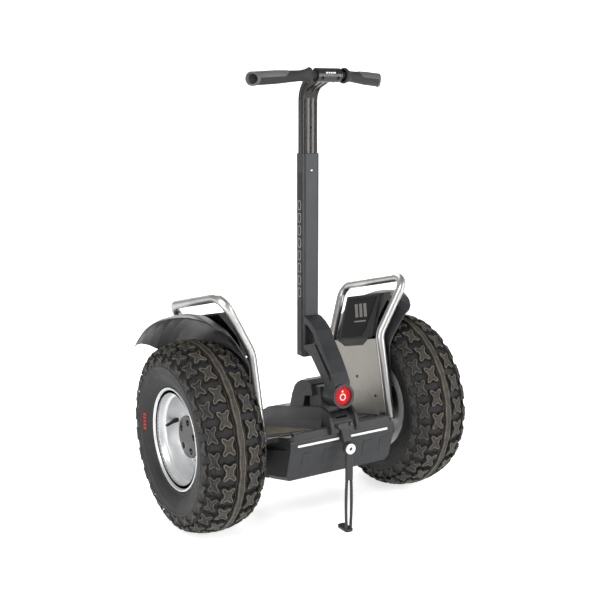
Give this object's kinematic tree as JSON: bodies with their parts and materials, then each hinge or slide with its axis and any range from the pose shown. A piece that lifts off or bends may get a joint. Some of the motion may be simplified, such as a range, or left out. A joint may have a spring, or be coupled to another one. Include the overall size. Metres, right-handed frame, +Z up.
{
  "type": "self-balancing personal transporter",
  "caption": "Two-wheeled self-balancing stand-on transporter with off-road tyres, grab handles, fenders and a lean-to-steer bar, parked on its stand.",
  "frame": {"origin": "on the ground, midway between the wheels in X and midway along the machine in Y, under the axle", "axes": "+X to the rider's left along the axle, -Y forwards, +Z up"},
  "size_m": [0.8486, 0.5427, 1.2556],
  "materials": {
    "tyre_rubber": "dusty off-road tread",
    "silver_rim": "satin",
    "black_plastic": "fine texture",
    "charcoal_plastic": "satin moulded",
    "dark_cast": "satin charcoal",
    "shaft_paint": "satin charcoal",
    "cast_aluminium": "as cast",
    "handle_aluminium": "satin",
    "steel": "machined",
    "bronze": "plain bearing",
    "mat_rubber": "ribbed, dusty",
    "grip_rubber": "soft",
    "champagne_panel": "metallic satin",
    "gloss_black": "gloss",
    "label_grey": "printed plate, blank",
    "reflective_white": "reflective",
    "badge_red": "gloss",
    "board_green": "coated board",
    "sensor_blue": "sealed case"
  },
  "bodies": {
    "chassis": {"axle_bearings": "steel", "balance_sensor": "sensor_blue", "battery_front": "charcoal_plastic", "battery_rear": "charcoal_plastic", "body_screws": "steel", "bumper_front": "charcoal_plastic", "bumper_rear": "charcoal_plastic", "charge_port": "black_plastic", "console_lower": "charcoal_plastic", "console_upper": "charcoal_plastic", "control_boards": "board_green", "deck_cover": "charcoal_plastic", "fender_left": "charcoal_plastic", "fender_right": "charcoal_plastic", "gear_case_left": "cast_aluminium", "gear_case_right": "cast_aluminium", "handle_left": "handle_aluminium", "handle_right": "handle_aluminium", "label_plates": "label_grey", "mat_left": "mat_rubber", "mat_right": "mat_rubber", "motor_case_left": "cast_aluminium", "motor_case_right": "cast_aluminium", "pivot_base": "dark_cast", "pivot_spindle": "steel", "pod_faces": "gloss_black", "pod_left": "black_plastic", "pod_right": "black_plastic", "power_base_housing": "dark_cast", "reflective_strips": "reflective_white", "rider_sensors": "mat_rubber", "side_panel_left": "champagne_panel", "side_panel_right": "champagne_panel", "stand_bracket": "dark_cast", "stand_reflector": "reflective_white"},
    "wheel_left": {"tyre_left": "tyre_rubber", "rim_left": "silver_rim", "hub_cap_left": "black_plastic", "lug_bolts_left": "steel", "axle_shaft_left": "steel"},
    "wheel_right": {"tyre_right": "tyre_rubber", "rim_right": "silver_rim", "hub_cap_right": "black_plastic", "lug_bolts_right": "steel", "axle_shaft_right": "steel"},
    "layshaft_left": {"layshaft_left": "steel"},
    "rotor_left": {"motor_rotor_left": "steel"},
    "layshaft_right": {"layshaft_right": "steel"},
    "rotor_right": {"motor_rotor_right": "steel"},
    "lean_frame": {"lean_arm": "dark_cast", "lower_shaft": "shaft_paint", "medallion": "badge_red", "pivot_bushes": "bronze"},
    "upper_frame": {"upper_shaft": "shaft_paint", "handlebar": "steel", "clamp_cap": "shaft_paint", "clamp_screws": "steel", "grips": "grip_rubber"},
    "stand": {"stand_leg": "dark_cast"},
    "port_flap": {"port_cover": "grip_rubber"}
  },
  "joints": [
    {"name": "wheel_left_spin", "type": "hinge", "parent": "chassis", "child": "wheel_left", "pos_m": [0.335, 0, 0.265], "axis": [1, 0, 0], "continuous": true},
    {"name": "wheel_right_spin", "type": "hinge", "parent": "chassis", "child": "wheel_right", "pos_m": [-0.335, 0, 0.265], "axis": [1, 0, 0], "continuous": true},
    {"name": "layshaft_left_spin", "type": "hinge", "parent": "chassis", "child": "layshaft_left", "pos_m": [0.238, 0.01324, 0.20264], "axis": [1, 0, 0], "continuous": true},
    {"name": "rotor_left_spin", "type": "hinge", "parent": "chassis", "child": "rotor_left", "pos_m": [0.115, -0.02177, 0.17767], "axis": [1, 0, 0], "continuous": true},
    {"name": "layshaft_right_spin", "type": "hinge", "parent": "chassis", "child": "layshaft_right", "pos_m": [-0.238, 0.01324, 0.20264], "axis": [1, 0, 0], "continuous": true},
    {"name": "rotor_right_spin", "type": "hinge", "parent": "chassis", "child": "rotor_right", "pos_m": [-0.115, -0.02177, 0.17767], "axis": [1, 0, 0], "continuous": true},
    {"name": "lean_steer", "type": "hinge", "parent": "chassis", "child": "lean_frame", "pos_m": [0, -0.22126, 0.37994], "axis": [0, 0.9945, -0.1045], "range_deg": [-14, 14], "stiffness_Nm_per_rad": 60},
    {"name": "bar_height", "type": "slide", "parent": "lean_frame", "child": "upper_frame", "axis": [0, 0, 1], "range_m": [-0.14, 0.1]},
    {"name": "stand_swing", "type": "hinge", "parent": "chassis", "child": "stand", "pos_m": [0, -0.249, 0.2405], "axis": [0, 1, 0], "range_deg": [0, 90]},
    {"name": "port_cover_hinge", "type": "hinge", "parent": "chassis", "child": "port_flap", "pos_m": [0.1, 0.2034, 0.17306], "axis": [1, 0, 0], "range_deg": [0, 100]}
  ],
  "couplings": [
    {"joint": "layshaft_left_spin", "follows": "wheel_left_spin", "ratio": -4.6667},
    {"joint": "rotor_left_spin", "follows": "wheel_left_spin", "ratio": 24},
    {"joint": "layshaft_right_spin", "follows": "wheel_right_spin", "ratio": -4.6667},
    {"joint": "rotor_right_spin", "follows": "wheel_right_spin", "ratio": 24}
  ]
}
